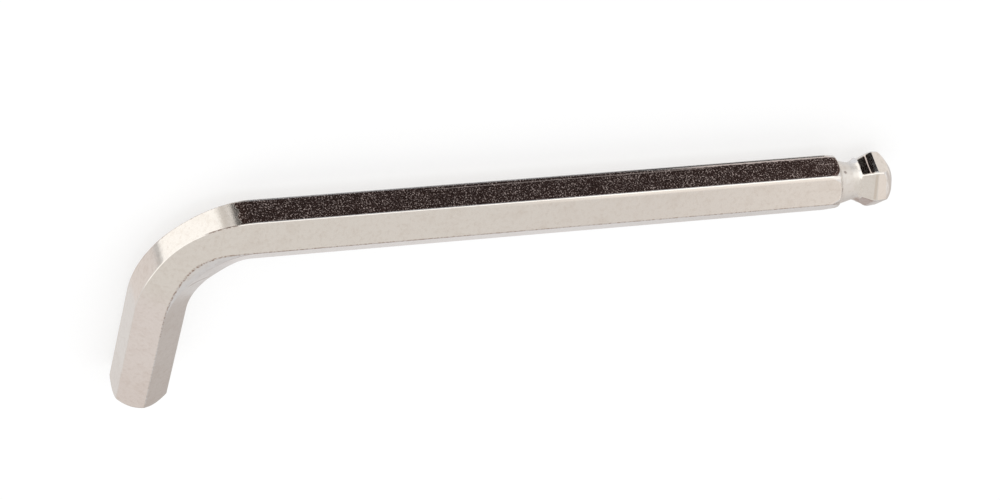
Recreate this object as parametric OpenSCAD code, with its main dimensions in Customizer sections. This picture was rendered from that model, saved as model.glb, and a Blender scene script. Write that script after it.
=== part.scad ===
// Hex key with a ball end, bent from one length of hexagonal steel bar.
// The bar lies flat on two of its long edges: long arm along +X, short arm along -Y.
// Millimetres. Origin: middle of the outer box, on the surface that the key lies on.

/* [Bar] */
// Size of the hexagon across its flats
across_flats = 10; // [8:0.5:14]
// Radius of the six long edges
edge_radius = 0.35; // [0.2:0.05:0.6]

/* [Arms] */
// Long arm, from the outer flat of the short arm to the end of the ball
long_arm = 150; // [100:1:220]
// Short arm, from the outer flat of the long arm to its tip
short_arm = 50.5; // [42:0.5:80]
// Length of the chamfer that takes the corners off the tip
tip_chamfer = 1.1; // [0.4:0.1:2]
// Slope of that chamfer, measured from the axis of the arm
tip_slope = 40; // [25:1:55]

/* [Bend] */
// Radius of the bend's first part, next to the long arm, at the middle of the bar
first_radius = 14; // [12:0.5:18]
// Radius of its second part, next to the short arm, where the bar springs back
second_radius = 22.5; // [16:0.5:26]
// Turn made by the first part, in degrees
first_turn = 60; // [40:1:75]
// Narrowing of the stretched outer flat, at each of its edges
outer_thinning = 0.5; // [0:0.05:0.8]
// Widening of the squeezed inner flat, at each of its edges
inner_swell = 0.7; // [0:0.05:0.8]
// Distance from each side edge to the border of the flat that the bending tool pressed on it
press_width = 1.2; // [0.4:0.1:2]

/* [Ball end] */
// Distance from the shoulder's wall, where the flats end, to the end of the ball
shoulder_to_end = 10.9; // [10.2:0.1:14]
// Slope of that wall, measured from the axis of the bar
wall_slope = 62; // [45:1:70]
// Length over which the bar's edges taper towards the wall
taper_length = 2.3; // [1:0.1:4]
// Slope of this taper
taper_slope = 14; // [8:1:17]
// Distance from the neck to the end of the ball
ball_length = 7.4; // [7:0.1:8]
// Diameter of the neck
neck_diameter = 7.2; // [6:0.1:7.6]
// Slope of the neck, which widens towards the shoulder
neck_slope = 14; // [4:1:20]
// Radius of the groove between the neck and the ball
neck_groove = 1.6; // [1:0.1:2.4]
// Slope of the turned flare from the groove up to the ball
flare_slope = 40; // [34:1:44]
// Radius of the turned ball, which rounds its six edges
ball_rounding = 2.6; // [2:0.1:3]
// Slope of the chamfer round the end face
nose_slope = 54; // [48:1:60]
// Diameter of the flat end face
nose_diameter = 6.2; // [5.4:0.1:7]
// Distance from where the milled facets start, in front of the neck, to the end of the ball
facets_to_end = 6.3; // [5.6:0.1:6.6]
// Slope of the facets, which rise towards the crest
facet_slope = 24; // [18:1:28]
// Length of the gentler band between a facet and the crest
band_length = 0.5; // [0.2:0.1:1]
// Slope of that band
band_slope = 10; // [6:1:14]
// Distance from the middle of the crest to the end of the ball
crest_to_end = 3.4; // [3:0.1:4]
// Width of the crest, where the ball has the full size across flats
crest_width = 1; // [0.2:0.1:1.4]
// Length of the land in front of the crest
land_length = 1.5; // [0.5:0.1:2]
// Slope of the land
land_slope = 5; // [3:1:8]
// Size of the nose across its flats
nose_flats = 8.6; // [7.5:0.1:9]

/* [Hidden] */

steel = [0.79, 0.77, 0.74];
clear = 2;
turned_sides = 96;

// Half the size across flats, and the long edges with their rounding
apothem = across_flats / 2;
sides = 6;
side_turn = 360 / sides;
edge_centre = (apothem - edge_radius) / cos(side_turn / 2);
edge_reach = edge_centre + edge_radius;
edge_steps = 4;

// Ends of the arms and of the bend, from the point where the two axes cross
long_end = long_arm - apothem;
short_end = short_arm - apothem;
bend_start = first_radius * sin(first_turn) + second_radius * (1 - sin(first_turn));
bend_end = first_radius * (1 - cos(first_turn)) + second_radius * cos(first_turn);
bend_turn = 90;
bend_step = 3.75;
press_share = press_width / edge_centre;

// Places along the long arm
shoulder_at = long_end - shoulder_to_end;
taper_at = shoulder_at - taper_length;
neck_at = long_end - ball_length;
facets_at = long_end - facets_to_end;
crest_back = long_end - crest_to_end - crest_width / 2;
crest_front = crest_back + crest_width;
band_at = crest_back - band_length;
land_end = crest_front + land_length;
neck_radius = neck_diameter / 2;
nose_radius = nose_diameter / 2;
blank = edge_reach + clear;
groove_steps = 14;
ball_steps = 16;

// A point at a distance and an angle from another, and points along an arc
function polar(centre, reach, angle) = centre + reach * [cos(angle), sin(angle)];
function arc(centre, reach, from, to, steps) =
    [for (i = [0:steps]) polar(centre, reach, from + (to - from) * i / steps)];

// Where two straight lines meet, each given by one of its points and its slope
function crossing(first, first_slope, second, second_slope) =
    let (
        rise = second.y - first.y + first.x * tan(first_slope) - second.x * tan(second_slope),
        x = rise / (tan(first_slope) - tan(second_slope))
    )
    [x, first.y + (x - first.x) * tan(first_slope)];

// Middle of the bar where it has turned by an angle
function bend_middle(turn) = turn <= first_turn
    ? [bend_start - first_radius * sin(turn), first_radius * (cos(turn) - 1)]
    : [second_radius * (1 - sin(turn)), second_radius * cos(turn) - bend_end];

// How far the bend has reshaped the section: not at the arms, fully halfway round
function forming(turn) = pow(sin(180 * turn / bend_turn), 2);

// The six long edges are numbered round the section, which is seen from the end of the long arm.
// Its first coordinate points to the outside of the bend, and its second one up.
function edge_angle(k) = (k + 0.5) * side_turn;
function is_side_edge(k) = k % (sides / 2) == 1;

// Centre of the rounding of one edge
function edge_at(k, formed) =
    polar([0, 0], edge_centre, edge_angle(k)) + formed * edge_shift(edge_angle(k), is_side_edge(k));
function edge_shift(angle, side_edge) = side_edge ? [0, 0]
    : [0, sign(sin(angle)) * (cos(angle) > 0 ? -outer_thinning : inner_swell)];

// One point of that rounding; the bending tool opens the side edges into narrow flats
function edge_point(k, i, formed) =
    let (
        here = edge_at(k, formed),
        before = edge_at((k + sides - 1) % sides, formed),
        after = edge_at((k + 1) % sides, formed),
        towards = i < edge_steps / 2 ? before : i > edge_steps / 2 ? after : (before + after) / 2,
        opened = is_side_edge(k) ? formed * press_share : 0,
        turn = (i / edge_steps - 0.5) * side_turn
    )
    polar(here + opened * (towards - here), edge_radius, edge_angle(k) + turn);

function section(formed) =
    [for (k = [0:sides - 1]) for (i = [0:edge_steps]) edge_point(k, i, formed)];

// Sections stood across the bar: at its two ends, and all the way round the bend
function stand(outline, middle, turn) =
    [for (p = outline) [middle.x - p.x * sin(turn), middle.y + p.x * cos(turn), p.y]];
rings = concat(
    [stand(section(0), [long_end, 0], 0)],
    [for (turn = [0:bend_step:bend_turn]) stand(section(forming(turn)), bend_middle(turn), turn)],
    [stand(section(0), [0, -short_end], bend_turn)]
);

// The hexagonal bar, swept from the end of the long arm to the tip of the short one
module bent_bar() {
    count = len(rings[0]);
    last = len(rings) - 1;
    walls = [for (j = [0:last - 1]) for (i = [0:count - 1])
        let (a = j * count + i, b = j * count + (i + 1) % count)
        each [[a, a + count, b], [b, a + count, b + count]]];
    caps = [
        [for (i = [0:count - 1]) i],
        [for (i = [count - 1:-1:0]) last * count + i]
    ];
    polyhedron([for (ring = rings) each ring], concat(walls, caps));
}

// Turned shape of the shoulder, neck and ball, as distances along and from the axis of the long arm
module turned_outline() {
    groove = [neck_at, neck_radius + neck_groove];
    neck_end = polar(groove, neck_groove, 270 - neck_slope);
    flare_start = polar(groove, neck_groove, 270 + flare_slope);
    taper_start = [taper_at, edge_reach];
    wall = [shoulder_at, apothem];
    nose = [long_end, nose_radius];
    // The arc over the ball touches the flare behind it and the chamfer in front
    peak = crossing(flare_start, flare_slope, nose, -nose_slope);
    touch = ball_rounding * tan((flare_slope + nose_slope) / 2);
    ball = polar(polar(peak, touch, flare_slope + 180), ball_rounding, flare_slope - 90);
    polygon(concat(
        [
            [taper_at - clear, 0],
            [taper_at - clear, edge_reach + clear * tan(taper_slope)],
            crossing(taper_start, -taper_slope, wall, -wall_slope),
            crossing(wall, -wall_slope, neck_end, -neck_slope)
        ],
        arc(groove, neck_groove, 270 - neck_slope, 270 + flare_slope, groove_steps),
        arc(ball, ball_rounding, 90 + flare_slope, 90 - nose_slope, ball_steps),
        [
            [long_end + clear, nose_radius - clear * tan(nose_slope)],
            [long_end + clear, 0]
        ]
    ));
}

// What the lathe takes off between the shoulder and the end face
module turned_off() {
    rotate([0, 90, 0])
        rotate_extrude($fn = turned_sides)
            rotate(90)
                mirror([0, 1])
                    difference() {
                        translate([taper_at, 0])
                            square([long_end + clear / 2 - taper_at, blank]);
                        turned_outline();
                    }
}

// What one milling pass takes off two opposite sides of the ball: facet, band, crest, land and nose
module milled_off() {
    crest = crossing([crest_back, apothem], band_slope, [crest_front, apothem], -land_slope);
    band = [band_at, apothem - band_length * tan(band_slope)];
    facet = [facets_at, band.y - (band_at - facets_at) * tan(facet_slope)];
    land = [land_end, apothem - land_length * tan(land_slope)];
    nose_fall = (land.y - nose_flats / 2) / (long_end - land_end);
    over = [long_end + clear, land.y - nose_fall * (long_end + clear - land_end)];
    linear_extrude(2 * blank, center = true)
        for (side = [0, 1])
            mirror([0, side])
                polygon([facet, band, crest, land, over, [over.x, blank], [facet.x, blank]]);
}

// What is taken off the corners of the short arm's tip
module tip_off() {
    tip_radius = edge_reach - tip_chamfer * tan(tip_slope);
    translate([0, -short_end, 0])
        rotate([-90, 0, 0])
            rotate_extrude($fn = turned_sides)
                polygon([
                    [tip_radius - clear * tan(tip_slope), -clear],
                    [tip_radius + 2 * tip_chamfer * tan(tip_slope), 2 * tip_chamfer],
                    [blank + clear, 2 * tip_chamfer],
                    [blank + clear, -clear]
                ]);
}

module hex_key() {
    color(steel)
        translate([(apothem - long_end) / 2, (short_end - apothem) / 2, edge_reach])
            difference() {
                bent_bar();
                turned_off();
                for (k = [0:2])
                    rotate([side_turn * k, 0, 0])
                        milled_off();
                tip_off();
            }
}

hex_key();
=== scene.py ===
import math

import bpy
import numpy as np
from mathutils import Matrix, Vector


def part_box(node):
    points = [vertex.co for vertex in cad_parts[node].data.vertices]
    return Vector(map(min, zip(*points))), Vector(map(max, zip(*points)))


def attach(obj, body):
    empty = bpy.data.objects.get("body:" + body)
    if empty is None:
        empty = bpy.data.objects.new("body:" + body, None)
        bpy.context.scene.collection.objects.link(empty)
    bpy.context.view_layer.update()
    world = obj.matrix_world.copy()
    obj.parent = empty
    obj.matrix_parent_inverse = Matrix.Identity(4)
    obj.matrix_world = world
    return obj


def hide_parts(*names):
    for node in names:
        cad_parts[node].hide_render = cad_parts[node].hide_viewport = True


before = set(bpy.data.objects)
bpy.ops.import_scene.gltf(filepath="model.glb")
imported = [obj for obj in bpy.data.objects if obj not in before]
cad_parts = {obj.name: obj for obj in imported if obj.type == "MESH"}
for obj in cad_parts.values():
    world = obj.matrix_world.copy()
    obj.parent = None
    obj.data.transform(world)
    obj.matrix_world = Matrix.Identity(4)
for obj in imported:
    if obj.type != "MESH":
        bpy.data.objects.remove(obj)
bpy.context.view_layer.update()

mm = 0.001


def smoothStep(low, high, value):
    share = np.clip((value - low) / (high - low), 0.0, 1.0)
    return share * share * (3.0 - 2.0 * share)


def softMin(first, second, width):
    # the smaller of two radii, with the crease between them rounded over the width
    share = np.clip(0.5 + 0.5 * (second - first) / width, 0.0, 1.0)
    return second + (first - second) * share - width * share * (1.0 - share)


def slope(degrees):
    return math.tan(math.radians(degrees))


# The key: one swept bar with a ball end. Millimetres and degrees.
bar = {
    "acrossFlats": 10.0,
    "edgeRadius": 0.35,
    "arcPoints": 8,
    "flatPoints": 22,
    "armStep": 1.5,
    "endRings": (0.97, 0.7, 0.35),
}
bend = {
    "firstRadius": 14.0,
    "secondRadius": 22.5,
    "firstTurn": 60.0,
    "fullTurn": 90.0,
    "step": 1.5,
    "outerThinning": 0.5,
    "innerSwell": 0.7,
    "pressWidth": 1.2,
}
ball = {
    # turned shoulder, neck and flare
    "taperToEnd": 13.2,
    "taperSlope": 14.0,
    "wallToEnd": 10.9,
    "wallSlope": 62.0,
    "wallSoftness": 0.4,
    "neckToEnd": 7.7,
    "neckRadius": 3.6,
    "neckSlope": 14.0,
    "flareToEnd": 5.7,
    "flareRadius": 4.85,
    "flareSlope": 40.0,
    "turnedSoftness": 0.9,
    # milled flats, and where they run out on the neck
    "facetsToEnd": 6.25,
    "facetSlope": 24.0,
    "facetRunOut": 0.3,
    "facetFade": 0.25,
    "facetClear": 3.0,
    "bandToEnd": 4.05,
    "bandSlope": 10.0,
    "crestToEnd": 3.4,
    "landToEnd": 1.65,
    "landSlope": 5.0,
    "noseSlope": 19.0,
    # the small step in the milled slope
    "markToEnd": 4.78,
    "markWidth": 0.36,
    "markDepth": 0.05,
    # turned nose, and edges rounded off by the turning
    "noseRadius": 3.1,
    "noseRounding": 4.7,
    "chamferSlope": 54.0,
    "edgeRadius": 5.7,
    "edgeSoftness": 0.1,
    "edgeFade": 1.0,
    "softness": 0.16,
    # how far the cuts lean over the width of the bar, and towards where round it
    "lean": 0.6,
    "leanFade": 3.0,
    "shoulderLean": 1.1,
    "shoulderFade": (8.5, 10.5),
    "leanTowards": 38.7,
    # how far they sit off its middle, and towards where
    "neckOffset": 0.15,
    "noseOffset": 0.55,
    "noseFade": 0.4,
    "facetOffset": 0.15,
    "flareOffset": 0.2,
    "offsetTowards": 315.0,
    # how close the rings of the mesh are, and how far behind the taper they stay so
    "step": 0.1,
    "fineBehind": 1.5,
}
tip = {
    "chamferLength": 1.1,
    "chamferSlope": 40.0,
    "softness": 0.2,
    "step": 0.1,
    "fineBehind": 1.0,
}

sides = 6
sideTurn = 360 / sides
pressedEdges = (1, 4)  # the edges on the two sides of the bend, which the bending tool opens
boxLow, boxHigh = (np.array(corner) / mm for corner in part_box("hex_key"))
apothem = bar["acrossFlats"] / 2
longEnd = boxHigh[0] - boxLow[0] - apothem
shortEnd = boxHigh[1] - boxLow[1] - apothem
axisCross = np.array([boxLow[0] + apothem, boxHigh[1] - apothem, (boxHigh[2] - boxLow[2]) / 2])


def barSection(formed):
    # outline of the hexagon as (outwards, upwards) points, from the middle of the lowest edge round
    radius = bar["edgeRadius"]
    centre = (apothem - radius) / math.cos(math.radians(sideTurn / 2))
    corners = []
    for edge in range(sides):
        angle = math.radians(sideTurn * (edge + 0.5))
        place = centre * np.array([math.cos(angle), math.sin(angle)])
        if edge not in pressedEdges:
            shift = -bend["outerThinning"] if place[0] > 0 else bend["innerSwell"]
            place[1] += math.copysign(1.0, place[1]) * shift * formed
        corners.append(place)
    arcs = []
    for edge in range(sides):
        here, before, after = corners[edge], corners[edge - 1], corners[(edge + 1) % sides]
        opened = formed * bend["pressWidth"] / centre if edge in pressedEdges else 0.0
        arc = []
        for i in range(bar["arcPoints"] + 1):
            share = i / bar["arcPoints"]
            angle = math.radians(sideTurn * (edge + share))
            towards = before if share < 0.5 else after if share > 0.5 else (before + after) / 2
            place = here + opened * (towards - here)
            arc.append(place + radius * np.array([math.cos(angle), math.sin(angle)]))
        arcs.append(arc)
    points = []
    for edge in range(sides):
        points.extend(arcs[edge])
        first, last = arcs[edge][-1], arcs[(edge + 1) % sides][0]
        for i in range(1, bar["flatPoints"]):
            points.append(first + (last - first) * i / bar["flatPoints"])
    lowest = pressedEdges[1] * len(points) // sides + bar["arcPoints"] // 2
    return np.roll(np.array(points), -lowest, axis=0)


straight = barSection(0.0)
straightReach = np.hypot(straight[:, 0], straight[:, 1])


def flatReach(toEnd, side):
    # half the size across the ball's flats, at distances from the end face
    # side is 1 on the side where the facets start a little further back, and -1 opposite
    facetsToEnd = ball["facetsToEnd"] + ball["facetOffset"] * np.maximum(side, 0.0)
    onFacet = np.clip(toEnd, ball["bandToEnd"], facetsToEnd + ball["facetRunOut"]) - ball["bandToEnd"]
    onBand = np.clip(toEnd, ball["crestToEnd"], ball["bandToEnd"]) - ball["crestToEnd"]
    onLand = ball["crestToEnd"] - np.clip(toEnd, ball["landToEnd"], ball["crestToEnd"])
    onNose = ball["landToEnd"] - np.minimum(toEnd, ball["landToEnd"])
    reach = apothem - onFacet * slope(ball["facetSlope"]) - onBand * slope(ball["bandSlope"])
    reach = reach - onLand * slope(ball["landSlope"]) - onNose * slope(ball["noseSlope"])
    mark = smoothStep(-0.5, 0.5, (toEnd - ball["markToEnd"]) / ball["markWidth"])
    reach = reach - ball["markDepth"] * mark
    return reach + ball["facetClear"] * smoothStep(0.0, ball["facetFade"], toEnd - facetsToEnd)


def turnedReach(toEnd, side):
    # radius of the turned shoulder, neck, flare and nose, at distances from the end face
    # the neck sits a little off the middle, and the nose is fuller on the same side
    taper = straightReach.max() - (ball["taperToEnd"] - toEnd) * slope(ball["taperSlope"])
    wall = apothem + (toEnd - ball["wallToEnd"]) * slope(ball["wallSlope"])
    neck = ball["neckRadius"] - ball["neckOffset"] * side
    neck = neck + np.maximum(toEnd - ball["neckToEnd"], 0) * slope(ball["neckSlope"])
    flareToEnd = ball["flareToEnd"] + ball["flareOffset"] * np.maximum(side, 0.0)
    flare = ball["flareRadius"] + (flareToEnd - toEnd) * slope(ball["flareSlope"])
    turned = -softMin(-neck, -softMin(taper, wall, ball["wallSoftness"]), ball["turnedSoftness"])
    turned = np.where(toEnd < ball["neckToEnd"], neck, turned)
    turned = -softMin(-turned, -flare, ball["turnedSoftness"])
    fuller = ball["noseOffset"] * np.maximum(-side, 0.0) * smoothStep(0.0, ball["noseFade"], toEnd)
    nose = ball["noseRadius"] + (toEnd + fuller) * slope(ball["chamferSlope"])
    return softMin(turned, nose, ball["noseRounding"])


def ballSection(toEnd):
    # the bar's own section, cut down to the ball's flats and then to its turned shape
    # the cuts lean a little towards one side, more so at the shoulder and not at the end face
    around = np.arctan2(straight[:, 1], straight[:, 0])
    angle = around - math.radians(ball["leanTowards"])
    side = np.cos(around - math.radians(ball["offsetTowards"]))
    lean = ball["lean"] * smoothStep(0.0, ball["leanFade"], toEnd)
    lean += (ball["shoulderLean"] - ball["lean"]) * smoothStep(*ball["shoulderFade"], toEnd)
    placed = np.maximum(toEnd - lean * np.cos(angle), 0.0)
    flats = np.minimum(flatReach(placed, side), apothem) / apothem
    onBall = smoothStep(ball["edgeFade"], 0.0, placed - ball["neckToEnd"])
    rounded = softMin(straightReach, ball["edgeRadius"], ball["edgeSoftness"])
    capped = rounded * onBall + straightReach * (1 - onBall)
    reach = softMin(capped * flats, turnedReach(placed, side), ball["softness"])
    return straight * (np.minimum(reach, straightReach) / straightReach)[:, None]


def tipSection(toEnd):
    corner = straightReach.max() - tip["chamferLength"] * slope(tip["chamferSlope"])
    reach = softMin(straightReach, corner + toEnd * slope(tip["chamferSlope"]), tip["softness"])
    return straight * (np.minimum(reach, straightReach) / straightReach)[:, None]


def barMiddle(turn):
    # middle of the bar where it has turned by an angle, from the point where the axes cross
    first, second = bend["firstRadius"], bend["secondRadius"]
    sine = math.sin(math.radians(bend["firstTurn"]))
    cosine = math.cos(math.radians(bend["firstTurn"]))
    start = first * sine + second * (1 - sine)
    end = first * (1 - cosine) + second * cosine
    angle = math.radians(turn)
    if turn <= bend["firstTurn"]:
        return np.array([start - first * math.sin(angle), first * (math.cos(angle) - 1)])
    return np.array([second * (1 - math.sin(angle)), second * math.cos(angle) - end])


def barForming(turn):
    # how far the bend has reshaped the section: not at the arms, fully halfway round
    return math.sin(math.pi * turn / bend["fullTurn"]) ** 2


def barStations():
    # every ring of the sweep: its section, middle and turn, from the end of the ball to the tip
    stations = []
    fullTurn = bend["fullTurn"]
    shoulder = ball["taperToEnd"] + ball["fineBehind"]
    bendStart = barMiddle(0.0)[0]
    bendEnd = -barMiddle(fullTurn)[1]
    for toEnd in np.arange(0, shoulder, ball["step"]):
        stations.append((ballSection(toEnd), np.array([longEnd - toEnd, 0.0]), 0.0))
    armLength = longEnd - shoulder - bendStart
    for share in np.linspace(0, 1, round(armLength / bar["armStep"]))[:-1]:
        stations.append((straight, np.array([longEnd - shoulder - share * armLength, 0.0]), 0.0))
    for turn in np.arange(0, fullTurn + bend["step"] / 2, bend["step"]):
        stations.append((barSection(barForming(turn)), barMiddle(turn), turn))
    tipStart = tip["chamferLength"] + tip["fineBehind"]
    armLength = shortEnd - tipStart - bendEnd
    for share in np.linspace(0, 1, round(armLength / bar["armStep"]))[1:]:
        stations.append((straight, np.array([0.0, -bendEnd - share * armLength]), fullTurn))
    for toEnd in np.arange(tipStart - tip["step"], -tip["step"] / 2, -tip["step"]):
        stations.append((tipSection(max(toEnd, 0.0)), np.array([0.0, toEnd - shortEnd]), fullTurn))
    return stations


def fromEdge(section, edge):
    # distance of each point from the middle of one edge, along the outline, negative before it
    count = len(section)
    middle = edge * count // sides
    steps = np.hypot(*(np.roll(section, -1, axis=0) - section).T)
    run = np.concatenate([[0.0], np.cumsum(steps)])
    gap = run[:count] - run[middle]
    return np.where(gap > run[-1] / 2, gap - run[-1], np.where(gap < -run[-1] / 2, gap + run[-1], gap))


def closeEnd(points, faces, values, first, count, flip):
    # an end face, made of smaller and smaller rings round a middle point
    edge = points[first:first + count]
    middle = edge.mean(axis=0)
    outer = first
    for share in bar["endRings"]:
        inner = len(points)
        points = np.vstack([points, middle + (edge - middle) * share])
        values = np.vstack([values, values[first:first + count]])
        for i in range(count):
            j = (i + 1) % count
            quad = (outer + i, outer + j, inner + j, inner + i)
            faces.append(quad[::-1] if flip else quad)
        outer = inner
    points = np.vstack([points, middle])
    values = np.vstack([values, values[first]])
    for i in range(count):
        fan = (outer + i, outer + (i + 1) % count, len(points) - 1)
        faces.append(fan[::-1] if flip else fan)
    return points, values


# Measures kept with every point, for the finish: millimetres along the bar from the ball's end,
# millimetres round it from three of its edges, which are counted from the lowest one, and the
# share by which the bend has reshaped the section.
measuredEdges = {
    "fromOuterEdge": 2,
    "fromTopEdge": 3,
    "fromLowEdge": 1,
}
measures = ["alongBar", *measuredEdges, "formed"]


def makeKey():
    rings = []
    values = []
    travelled = 0.0
    lastMiddle = None
    for section, middle, turn in barStations():
        angle = math.radians(turn)
        outwards = np.array([-math.sin(angle), math.cos(angle)])
        flat = middle + section[:, :1] * outwards
        rings.append(np.column_stack([flat, section[:, 1]]) + axisCross)
        travelled += 0.0 if lastMiddle is None else math.dist(middle, lastMiddle)
        lastMiddle = middle
        whole = barSection(barForming(turn))
        around = [fromEdge(whole, edge) for edge in measuredEdges.values()]
        along, formed = (np.full(len(whole), value) for value in (travelled, barForming(turn)))
        values.append(np.column_stack([along, *around, formed]))
    count = len(straight)
    points = np.vstack(rings)
    values = np.vstack(values)
    faces = []
    for ring in range(len(rings) - 1):
        for i in range(count):
            a = ring * count + i
            b = ring * count + (i + 1) % count
            faces.append((a, a + count, b + count, b))
    points, values = closeEnd(points, faces, values, 0, count, False)
    points, values = closeEnd(points, faces, values, (len(rings) - 1) * count, count, True)
    mesh = bpy.data.meshes.new("hex_key_bar")
    mesh.from_pydata((points * mm).tolist(), [], faces)
    mesh.update()
    for name, column in zip(measures, values.T):
        mesh.attributes.new(name, "FLOAT", "POINT").data.foreach_set("value", column.astype(np.float32))
    mesh.shade_smooth()
    key = bpy.data.objects.new("hex_key_bar", mesh)
    bpy.context.scene.collection.objects.link(key)
    return key


class Link:
    # a node's output, so that shader maths reads as an expression

    def __init__(self, shader, socket):
        self.shader = shader
        self.socket = socket

    def maths(self, operation, *values):
        return self.shader.node("ShaderNodeMath", {"operation": operation}, dict(enumerate(values)))

    def distance(self, place):
        return self.maths("ABSOLUTE", self - place)

    def __add__(self, other):
        return self.maths("ADD", self, other)

    def __radd__(self, other):
        return self.maths("ADD", other, self)

    def __sub__(self, other):
        return self.maths("SUBTRACT", self, other)

    def __rsub__(self, other):
        return self.maths("SUBTRACT", other, self)

    def __mul__(self, other):
        return self.maths("MULTIPLY", self, other)

    def __rmul__(self, other):
        return self.maths("MULTIPLY", other, self)


class Shader:
    # builds one node tree

    def __init__(self, tree):
        self.tree = tree
        tree.nodes.clear()

    def node(self, kind, settings=None, inputs=None, output=0):
        made = self.tree.nodes.new(kind)
        for name, value in (settings or {}).items():
            setattr(made, name, value)
        for name, value in (inputs or {}).items():
            if isinstance(value, Link):
                self.tree.links.new(value.socket, made.inputs[name])
            else:
                made.inputs[name].default_value = value
        return Link(self, made.outputs[output]) if made.outputs else made

    def attribute(self, name):
        return self.node("ShaderNodeAttribute", {"attribute_name": name}, output="Fac")

    def step(self, value, low, high):
        # 0 below low and 1 above high, or the other way round where low is the larger
        settings = {"interpolation_type": "SMOOTHSTEP"}
        return self.node("ShaderNodeMapRange", settings, {0: value, 1: low, 2: high})

    def within(self, value, start, end):
        # 1 between two soft borders, each given by its two sides, or None where there is no border
        mask = 1.0
        if start:
            mask = mask * self.step(value, *start)
        if end:
            mask = mask * self.step(value, *end[::-1])
        return mask

    def noise(self, place, size, detail=3.0, roughness=0.55):
        inputs = {"Vector": place, "Scale": 1 / (size * mm), "Detail": detail, "Roughness": roughness}
        return self.node("ShaderNodeTexNoise", {}, inputs)

    def blend(self, share, first, second):
        # colours
        settings = {"data_type": "RGBA"}
        return self.node("ShaderNodeMix", settings, {0: share, 6: first, 7: second}, output=2)


plating = {
    "metal": (0.79, 0.77, 0.74, 1.0),
    "stained": (0.70, 0.655, 0.61, 1.0),
    # the painted dark reflection on the outer flat, and the lighter specks in it
    "paintedDarkFlat": (0.080, 0.048, 0.041, 1.0),
    "speck": (0.61, 0.52, 0.485, 1.0),
    # a painted highlight along the top of the dark flat
    "paintedRimHighlight": (0.70, 0.62, 0.58, 1.0),
    # painted darker reflections on the ball's outer side and across its front
    "paintedStripReflection": (0.56, 0.49, 0.46, 1.0),
    "band": (0.70, 0.65, 0.595, 1.0),
    "rust": (0.26, 0.15, 0.09, 1.0),
    # painted shade, in the crease where the bend starts and in small hollows
    "paintedCreviceShade": (0.14, 0.085, 0.065, 1.0),
    # a painted highlight along the outer edge
    "paintedHighlightColour": (0.98, 0.95, 0.90, 1.0),
    "roughness": 0.17,
    "grainRoughness": 0.10,
    "edgeHighlightRoughness": 0.12,
    "darkFlatRoughness": 0.24,
    "speckRoughness": 0.50,
    "neckRoughness": 0.50,
    "ballRoughness": 0.12,
    "underRoughness": 0.22,
    # sizes of the noises, in millimetres
    "fineSize": 0.30,
    "dotSize": 0.38,
    "grainSize": 0.75,
    "blotchSize": 3.2,
    # relief, as shares of a depth in metres
    "grainHeight": 0.25,
    "fineHeight": 0.22,
    "darkFlatHeight": 1.2,
    "relief": 0.35,
    "depth": 0.00004,
    # stains: from which tones of the two coarser noises on, and how strong, there and on the tip
    "grainTone": (0.45, 0.75),
    "grainStain": 0.45,
    "blotchTone": (0.48, 0.70),
    "blotchStain": 0.30,
    "tipStain": 0.35,
    # the outer flat, where a dark reflection is painted, in millimetres from the ball's end and from the
    # edges on either side of it
    "flatWidth": 5.37,
    "darkFlatFrom": 11.7,
    "darkFlatTo": 132.35,
    "darkFlatInset": 0.26,
    "darkFlatCurve": 0.22,
    "darkFlatRagged": 1.6,
    "topSoftness": 0.1,
    "edgeSoftness": 0.06,
    "startSoftness": 0.08,
    "endSoftness": 0.12,
    # its specks: from which tone of the noise on, how that tone varies, and how strong they are
    "speckTone": (0.53, 0.655),
    "speckPatches": 0.14,
    "speckCloser": 0.012,
    "speckStrength": 0.78,
    "speckStronger": 0.16,
    # the painted highlight along its upper side
    "rimRagged": 0.5,
    "rimStart": (0.0, 0.12),
    "rimEnd": (0.30, 0.50),
    "lineStrength": 0.5,
    # places and half sizes of the hollows with painted shade, from the ball's end and from the outer
    # edge
    "hollows": [(10.3, -1.6, 0.42, 0.50), (11.62, 3.05, 0.22, 0.55)],
    "hollowFade": (0.3, 1.0),
    "hollowShadeStrength": 0.6,
    # rust: how wide, how strong in its dots and between them, and what the bend adds
    "rustCore": 0.06,
    "rustWidth": 0.24,
    "formedWidth": 0.14,
    "rustTone": (0.44, 0.60),
    "rustDots": 0.5,
    "formedDots": 0.3,
    "rustBetween": 0.14,
    "cleanerShare": 0.6,
    "lowRustTone": (0.50, 0.62),
    "lowRustStrength": 0.5,
    # marks left by the bending tool: rust along the pressed flat's border, and painted shade in the
    # crease and along the fold
    "pressReach": 1.06,
    "creaseTone": (0.35, 0.6),
    "creaseDots": 0.4,
    "creaseBetween": 0.5,
    "foldStart": 147.1,
    "foldLean": 1.06,
    "foldWidth": (0.1, 0.45),
    "foldShadeStrength": 0.5,
}

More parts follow.
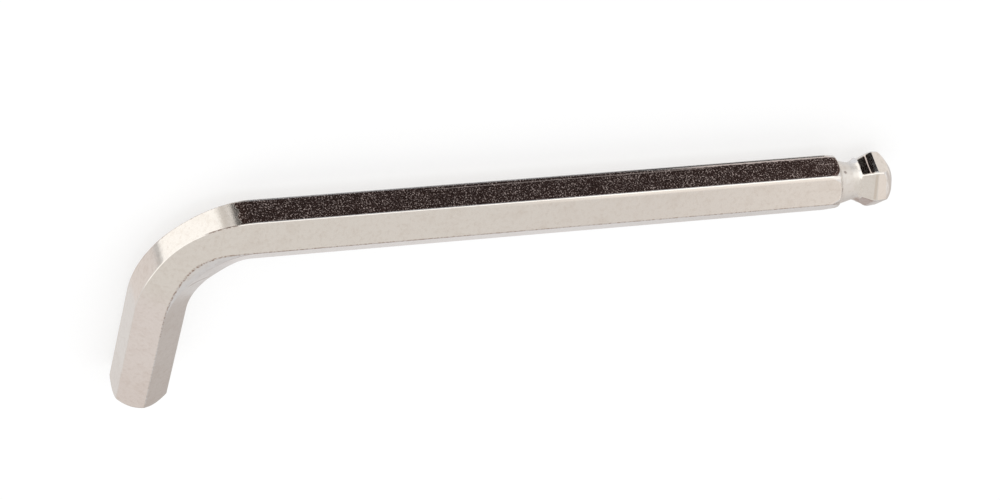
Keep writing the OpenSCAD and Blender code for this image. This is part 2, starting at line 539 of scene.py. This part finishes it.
# Where the marks are, along the bar and round it. Each is the soft border where the mark starts and
# the one where it ends. The rim is the upper side of the dark flat.
marks = {
    "stainedTip": {"along": ((166.0, 182.0), None)},
    # the painted highlight along the outer edge
    "paintedEdgeHighlight": {"along": ((11.5, 12.5), (55.0, 95.0)), "outer": ((-0.25, -0.05), (0.25, 0.75))},
    "narrowedFlat": {"along": (None, (45.0, 60.0))},
    "closerSpecks": {"along": (None, (15.0, 60.0))},
    "strongerSpecks": {"along": (None, (25.0, 60.0))},
    # where the highlight along the top of the dark flat is painted
    "paintedRimStretch": {"along": ((12.2, 13.2), (38.0, 52.0))},
    "thinHighlightLine": {"along": ((36.0, 44.0), (92.0, 100.0)), "rim": ((0.52, 0.59), (0.65, 0.72))},
    # painted darker reflections on the ball
    "paintedFrontBand": {
        "along": ((4.0, 4.2), (4.55, 4.75)),
        "outer": ((0.1, 0.4), None),
        "top": (None, (-0.4, -0.1)),
    },
    "paintedOuterStrip": {"along": ((4.91, 5.03), (5.47, 5.59)), "outer": ((-5.6, -5.3), (-0.3, 0.0))},
    "rustyArm": {"along": ((11.0, 13.0), None)},
    "cleanerArm": {"along": ((156.0, 166.0), None)},
    "rustyLowEdge": {"along": ((120.0, 134.0), None), "low": ((-0.35, -0.1), (0.1, 0.35))},
    "crease": {"along": ((132.3, 132.9), (136.2, 137.8)), "outer": ((-0.32, -0.20), (-0.04, 0.08))},
    "foldedSide": {"top": ((1.0, 1.6), (4.0, 5.0))},
    "neck": {"along": ((7.1, 7.9), (11.4, 12.2))},
    "ball": {"along": (None, (7.1, 7.9))},
    "underside": {"top": ((0.0, 0.8), (5.6, 6.2))},
}


def markMask(shader, places, name):
    mask = 1.0
    for place, (start, end) in marks[name].items():
        mask = mask * shader.within(places[place], start, end)
    return mask


def paintedDarkFlatMask(shader, along, outer, narrowed, blotch, grain):
    # the outer flat between the shoulder and the bend, where a dark reflection is painted, ragged at its
    # ends
    def border(value, place, softness):
        return shader.step(value, place - softness, place + softness)

    topSide = plating["darkFlatInset"] * narrowed - plating["flatWidth"]
    across = border(outer, topSide, plating["topSoftness"])
    across = across * border(outer, -plating["darkFlatInset"], -plating["edgeSoftness"])
    lower = outer + plating["flatWidth"] / 2
    near = lower.maths("MAXIMUM", lower, 0.0)
    curved = along - near * near * plating["darkFlatCurve"]
    ragged = along + ((blotch - 0.5) + (grain - 0.5)) * plating["darkFlatRagged"]
    start = border(curved, plating["darkFlatFrom"], plating["startSoftness"])
    end = border(ragged, plating["darkFlatTo"], -plating["endSoftness"])
    return across * start * end


def platingMaterial():
    material = bpy.data.materials.new("plated_steel_worn_with_painted_light")
    material.use_nodes = True
    shader = Shader(material.node_tree)
    place = shader.node("ShaderNodeTexCoord", output="Object")
    along, outer, top, low, formed = (shader.attribute(name) for name in measures)
    rim = outer + plating["flatWidth"]
    places = {"along": along, "outer": outer, "top": top, "low": low, "rim": rim}
    mask = {name: markMask(shader, places, name) for name in marks}
    fine = shader.noise(place, plating["fineSize"], detail=3.0, roughness=0.65)
    dots = shader.noise(place, plating["dotSize"], detail=2.0)
    grain = shader.noise(place, plating["grainSize"], detail=2.0)
    blotch = shader.noise(place, plating["blotchSize"], detail=3.0)

    # clean plating, with a fine mottling and a warmer stain here and there
    stain = shader.step(grain, *plating["grainTone"]) * plating["grainStain"]
    stain = stain + shader.step(blotch, *plating["blotchTone"]) * plating["blotchStain"]
    stain = stain + mask["stainedTip"] * plating["tipStain"]
    colour = shader.blend(stain, plating["metal"], plating["stained"])

    # a painted highlight along the outer edge, in a lighter colour
    colour = shader.blend(mask["paintedEdgeHighlight"], colour, plating["paintedHighlightColour"])

    # the painted dark reflection on the outer flat and its light specks, closer together and stronger
    # towards the ball
    paintedDarkFlat = paintedDarkFlatMask(shader, along, outer, mask["narrowedFlat"], blotch, grain)
    closer = (blotch - 0.5) * plating["speckPatches"] - mask["closerSpecks"] * plating["speckCloser"]
    specks = shader.step(fine + closer, *plating["speckTone"]) * paintedDarkFlat
    specks = specks * (plating["speckStrength"] + mask["strongerSpecks"] * plating["speckStronger"])
    dark = shader.blend(specks, plating["paintedDarkFlat"], plating["speck"])
    colour = shader.blend(paintedDarkFlat, colour, dark)

    # a painted highlight along the upper side of the dark flat, near the ball, and a thin painted
    # highlight line further on
    ragged = rim + (grain - 0.5) * plating["rimRagged"]
    paintedRimHighlight = shader.within(rim, plating["rimStart"], None) * shader.within(ragged, None, plating["rimEnd"])
    paintedRimHighlight = paintedRimHighlight * mask["paintedRimStretch"]
    paintedRimHighlight = paintedRimHighlight.maths("MAXIMUM", paintedRimHighlight, mask["thinHighlightLine"] * plating["lineStrength"])
    colour = shader.blend(paintedRimHighlight, colour, plating["paintedRimHighlight"])

    # on the ball, a painted darker reflection in a band across the front and in a strip across the outer
    # side
    colour = shader.blend(mask["paintedFrontBand"], colour, plating["band"])
    colour = shader.blend(mask["paintedOuterStrip"], colour, plating["paintedStripReflection"])

    # rust in dots along the top edge and the border of the pressed flat, and along the lower edge
    border = top + formed * plating["pressReach"]
    width = plating["rustWidth"] + formed * plating["formedWidth"]
    strength = plating["rustDots"] + formed * plating["formedDots"]
    strength = shader.step(dots, *plating["rustTone"]) * strength + plating["rustBetween"]
    rusty = shader.step(border.distance(0.0), width, plating["rustCore"]) * strength
    rusty = rusty * mask["rustyArm"] * (1.0 - mask["cleanerArm"] * plating["cleanerShare"])
    lowRust = mask["rustyLowEdge"] * shader.step(dots, *plating["lowRustTone"])
    colour = shader.blend(rusty, colour, plating["rust"])
    colour = shader.blend(lowRust * plating["lowRustStrength"], colour, plating["rust"])

    # painted shade: a dark line beside the outer edge where the bend starts
    strength = shader.step(dots, *plating["creaseTone"]) * plating["creaseDots"]
    crease = mask["crease"] * (strength + plating["creaseBetween"])
    colour = shader.blend(crease, colour, plating["paintedCreviceShade"])

    # painted shade in small hollows in the turned shoulder and neck
    for hollowAlong, hollowOuter, length, width in plating["hollows"]:
        farAlong = (along - hollowAlong) * (1 / length)
        farOuter = (outer - hollowOuter) * (1 / width)
        hollow = shader.within(farAlong * farAlong + farOuter * farOuter, None, plating["hollowFade"])
        colour = shader.blend(hollow * plating["hollowShadeStrength"], colour, plating["paintedCreviceShade"])

    # painted shade along the fold across the inner side of the bend, in the rust colour
    fold = (along + plating["foldLean"] * top).distance(plating["foldStart"])
    fold = shader.within(fold, None, plating["foldWidth"]) * mask["foldedSide"]
    colour = shader.blend(fold * plating["foldShadeStrength"], colour, plating["rust"])

    clean = plating["roughness"]
    under = mask["ball"] * mask["underside"]
    roughness = clean + (grain - 0.5) * plating["grainRoughness"]
    roughness = roughness + paintedDarkFlat * (plating["darkFlatRoughness"] - clean)
    roughness = roughness + mask["paintedEdgeHighlight"] * plating["edgeHighlightRoughness"]
    roughness = roughness + mask["neck"] * (plating["neckRoughness"] - clean)
    roughness = roughness + mask["ball"] * (plating["ballRoughness"] - clean)
    roughness = roughness + under * plating["underRoughness"]
    specked = specks.maths("MAXIMUM", specks, paintedRimHighlight)
    roughness = roughness + specked * (plating["speckRoughness"] - plating["darkFlatRoughness"])
    fineHeight = plating["fineHeight"] + paintedDarkFlat * plating["darkFlatHeight"]
    height = grain * plating["grainHeight"] + fine * fineHeight
    relief = {"Strength": plating["relief"], "Distance": plating["depth"], "Height": height}
    bump = shader.node("ShaderNodeBump", {}, relief)
    inputs = {"Base Color": colour, "Metallic": 1.0, "Roughness": roughness, "Normal": bump}
    surface = shader.node("ShaderNodeBsdfPrincipled", {}, inputs)
    shader.node("ShaderNodeOutputMaterial", {}, {"Surface": surface})
    return material


# Camera, from the photograph. Metres, with the lens in millimetres and the roll in degrees.
cameraView = {
    "place": (-0.1980, 0.4149, 0.3220),
    "aim": (-0.00339, 0.00771, 0.00572),
    "roll": 159.69,
    "lens": 103.75,
    "sensor": 36.0,
}


def makeCamera():
    data = bpy.data.cameras.new("photo_camera")
    data.lens = cameraView["lens"]
    data.sensor_width = cameraView["sensor"]
    data.sensor_fit = "HORIZONTAL"
    camera = bpy.data.objects.new("photo_camera", data)
    bpy.context.scene.collection.objects.link(camera)
    place = Vector(cameraView["place"])
    look = (Vector(cameraView["aim"]) - place).to_track_quat("-Z", "Y")
    turned = look.to_matrix() @ Matrix.Rotation(math.radians(cameraView["roll"]), 3, "Z")
    camera.matrix_world = Matrix.Translation(place) @ turned.to_4x4()
    bpy.context.scene.camera = camera


def makeBoard(name, corners):
    # a flat board of the studio, which isn't part of the key, with an empty material
    mesh = bpy.data.meshes.new(name)
    mesh.from_pydata(corners, [], [(0, 1, 2, 3)])
    board = bpy.data.objects.new(name, mesh)
    bpy.context.scene.collection.objects.link(board)
    material = bpy.data.materials.new(name)
    material.use_nodes = True
    mesh.materials.append(material)
    return board, Shader(material.node_tree)


floorLook = {
    "size": 3.0,
    "colour": (0.45, 0.45, 0.45, 1.0),
    "lift": 0.58,
}


def makeFloor():
    half = floorLook["size"] / 2
    corners = [(-half, -half, 0), (half, -half, 0), (half, half, 0), (-half, half, 0)]
    floor, shader = makeBoard("floor", corners)
    floor.visible_glossy = False
    inputs = {
        "Base Color": floorLook["colour"],
        "Roughness": 1.0,
        "Specular IOR Level": 0.0,
        "Emission Color": (1.0, 1.0, 1.0, 1.0),
        "Emission Strength": floorLook["lift"],
    }
    surface = shader.node("ShaderNodeBsdfPrincipled", {}, inputs)
    shader.node("ShaderNodeOutputMaterial", {}, {"Surface": surface})


# A black card that only the metal mirrors. It stands low behind the key. Metres.
blackCard = {
    "left": -0.093,
    "right": 0.32,
    "behind": 0.35,
    "leftLow": -0.31,
    "leftHigh": -0.18,
    "rightLow": -0.36,
    "rightHigh": -0.215,
    "colour": (0.010, 0.007, 0.006, 1.0),
}


def makeCard():
    left, right, behind = blackCard["left"], blackCard["right"], blackCard["behind"]
    corners = [
        (left, behind, blackCard["leftLow"]),
        (right, behind, blackCard["rightLow"]),
        (right, behind, blackCard["rightHigh"]),
        (left, behind, blackCard["leftHigh"]),
    ]
    card, shader = makeBoard("black_card", corners)
    card.visible_camera = False
    card.visible_diffuse = False
    card.visible_shadow = False
    card.visible_transmission = False
    glow = shader.node("ShaderNodeEmission", {}, {"Color": blackCard["colour"], "Strength": 1.0})
    shader.node("ShaderNodeOutputMaterial", {}, {"Surface": glow})


# What the key mirrors otherwise. Each zone is a colour and where it lies: its bearing from +Y
# towards +X and its height, in degrees, or its east, north and up as shares of the direction.
# Each place is its two ends and how softly they fade.
studio = {
    "ceiling": (0.81, 0.765, 0.72, 1.0),
    "ground": (0.88, 0.89, 0.93, 1.0),
    "horizon": 8.0,
    "zones": [
        # the floor behind the camera's side, duller towards the ball
        {
            "colour": (0.80, 0.775, 0.77, 1.0),
            "bearing": (100.0, 200.0, 6.0),
            "height": (-60.0, -12.0, 4.0),
        },
        {
            "colour": (0.67, 0.63, 0.605, 1.0),
            "east": (0.405, 2.0, 0.02),
            "north": (-2.0, -0.4, 0.1),
            "up": (-0.62, 0.04, 0.05),
        },
        # beside and above the neck
        {
            "colour": (0.99, 0.96, 0.95, 1.0),
            "east": (0.2, 2.0, 0.15),
            "north": (-0.45, 0.62, 0.1),
            "up": (0.1, 0.7, 0.1),
        },
        # what the front of the ball's outer side mirrors
        {
            "colour": (0.93, 0.87, 0.82, 1.0),
            "bearing": (39.0, 112.0, 2.0),
            "height": (-50.0, -12.0, 4.0),
        },
        # what the start of the bend mirrors, brighter and then duller
        {
            "colour": (0.95, 0.90, 0.85, 1.0),
            "bearing": (-12.0, 10.0, 2.0),
            "height": (-65.0, -14.5, 3.0),
        },
        {
            "colour": (0.68, 0.63, 0.58, 1.0),
            "bearing": (-30.0, -12.0, 2.5),
            "height": (-65.0, -14.5, 3.0),
        },
        # the bright bounce that the outside of the bend mirrors
        {
            "colour": (1.28, 1.24, 1.19, 1.0),
            "bearing": (-101.5, -21.0, 1.0),
            "height": (-65.0, -14.5, 3.0),
        },
        # what its end and the left side of the short arm mirror
        {
            "colour": (0.85, 0.78, 0.745, 1.0),
            "bearing": (-154.0, -107.5, 2.0),
            "height": (-65.0, -14.5, 3.0),
        },
        {
            "colour": (0.82, 0.79, 0.775, 1.0),
            "bearing": (-200.0, -155.0, 2.0),
            "height": (-65.0, -14.5, 3.0),
        },
        # the grey gap beyond the bounce
        {
            "colour": (0.28, 0.26, 0.24, 1.0),
            "bearing": (-106.5, -102.5, 0.8),
            "height": (-65.0, -14.5, 3.0),
        },
        # the window along the outer edge
        {
            "colour": (1.45, 1.42, 1.37, 1.0),
            "bearing": (-114.0, 46.0, 6.0),
            "height": (-8.0, 28.0, 4.0),
        },
        # dim corners behind the camera
        {
            "colour": (0.60, 0.555, 0.535, 1.0),
            "bearing": (110.0, 170.0, 8.0),
            "height": (-8.0, 26.0, 5.0),
        },
        {
            "colour": (0.42, 0.33, 0.30, 1.0),
            "east": (-0.15, 0.355, 0.025),
            "north": (-2.0, -0.38, 0.1),
            "up": (-0.20, 0.43, 0.08),
        },
        # what the rim of the end face mirrors
        {
            "colour": (0.70, 0.645, 0.615, 1.0),
            "east": (0.8, 2.0, 0.05),
            "north": (-0.78, -0.05, 0.05),
            "up": (-0.3, 0.38, 0.05),
        },
        # what the inner side of the bend mirrors
        {
            "colour": (0.74, 0.72, 0.72, 1.0),
            "east": (0.375, 0.50, 0.025),
            "north": (-2.0, -0.6, 0.1),
            "up": (-0.34, 0.30, 0.05),
        },
        # cool light on the pressed flat
        {
            "colour": (0.745, 0.735, 0.75, 1.0),
            "east": (-0.05, 0.9, 0.1),
            "north": (-2.0, -0.5, 0.1),
            "up": (0.42, 0.8, 0.06),
        },
        # beside that, on the middle face of the short arm
        {
            "colour": (0.83, 0.76, 0.735, 1.0),
            "east": (-2.0, -0.25, 0.1),
            "north": (-2.0, -0.5, 0.1),
            "up": (0.35, 0.65, 0.08),
        },
        # overhead: a darker strip and a brighter one for the arm's front, and a darker end
        {
            "colour": (0.72, 0.665, 0.635, 1.0),
            "east": (0.387, 0.416, 0.014),
            "north": (-0.3, 0.3, 0.1),
            "up": (0.8, 2.0, 0.05),
        },
        {
            "colour": (0.94, 0.86, 0.80, 1.0),
            "east": (0.444, 0.72, 0.02),
            "north": (-0.3, 0.3, 0.1),
            "up": (0.6, 2.0, 0.08),
        },
        {
            "colour": (0.76, 0.70, 0.66, 1.0),
            "east": (0.82, 2.0, 0.03),
            "north": (-0.3, 0.1, 0.1),
            "up": (0.35, 0.6, 0.05),
        },
    ],
}


def makeWorld():
    world = bpy.data.worlds.new("studio")
    bpy.context.scene.world = world
    world.use_nodes = True
    shader = Shader(world.node_tree)
    towards = shader.node("ShaderNodeTexCoord", output="Generated")
    places = {}
    for name, axis in {"east": "X", "north": "Y", "up": "Z"}.items():
        places[name] = shader.node("ShaderNodeSeparateXYZ", {}, {0: towards}, output=axis)
    degree = math.pi / 180
    places["bearing"] = places["east"].maths("ARCTAN2", places["east"], places["north"]) * (1 / degree)
    places["height"] = places["up"].maths("ARCSINE", places["up"]) * (1 / degree)
    above = shader.step(places["height"], -studio["horizon"], studio["horizon"])
    colour = shader.blend(above, studio["ground"], studio["ceiling"])
    for zone in studio["zones"]:
        mask = 1.0
        for name, place in places.items():
            if name in zone:
                low, high, soft = zone[name]
                mask = mask * shader.within(place, (low - soft, low + soft), (high - soft, high + soft))
        colour = shader.blend(mask, colour, zone["colour"])
    mirrored = shader.node("ShaderNodeLightPath", output="Is Glossy Ray")
    colour = shader.blend(mirrored, (1.0, 1.0, 1.0, 1.0), colour)
    background = shader.node("ShaderNodeBackground", {}, {"Color": colour, "Strength": 1.0})
    shader.node("ShaderNodeOutputWorld", {}, {"Surface": background})


makeCamera()
makeFloor()
makeWorld()
makeCard()
print("camera, floor and studio made")

key = makeKey()
key.data.materials.append(platingMaterial())
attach(key, "root")
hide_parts("hex_key")
print("hex key made,", len(key.data.polygons), "faces")

bpy.context.scene.view_settings.view_transform = "Standard"
